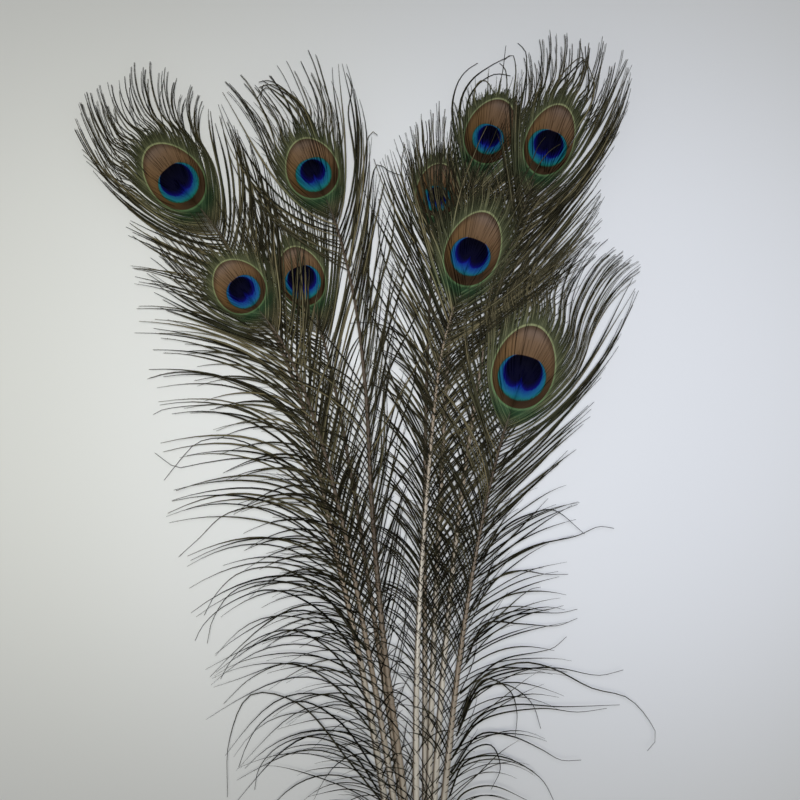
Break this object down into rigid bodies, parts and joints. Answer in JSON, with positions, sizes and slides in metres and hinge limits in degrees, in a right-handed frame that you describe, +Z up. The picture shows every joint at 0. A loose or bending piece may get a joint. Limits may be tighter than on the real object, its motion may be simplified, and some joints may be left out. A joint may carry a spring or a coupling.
{
  "type": "peacock feather bunch",
  "caption": "Peacock eye feathers fanned out from one crossing of their pale bare shafts, laid flat in a loose overlapping pile, with eyes at staggered heights.",
  "frame": {"origin": "on the resting surface, under the place where the shafts cross, at the flat underside of the lowest shaft", "axes": "+Y along the bunch towards the eyes, +X to the right seen from above, +Z up from the resting surface"},
  "size_m": [0.312, 0.723, 0.0382],
  "materials": {
    "quill": "satin keratin, cream to tan",
    "barbs": "dark olive fibres, with bronze, green, cyan and blue at the eyes"
  },
  "bodies": {
    "root": {"tucked_middle_shaft": "quill", "tucked_middle_vane": "barbs", "inner_left_shaft": "quill", "inner_left_vane": "barbs", "upper_middle_shaft": "quill", "upper_middle_vane": "barbs", "outer_left_shaft": "quill", "outer_left_vane": "barbs", "upper_right_shaft": "quill", "upper_right_vane": "barbs", "lower_left_shaft": "quill", "lower_left_vane": "barbs", "upper_left_shaft": "quill", "upper_left_vane": "barbs", "centre_shaft": "quill", "centre_vane": "barbs", "lower_right_shaft": "quill", "lower_right_vane": "barbs"}
  },
  "joints": []
}
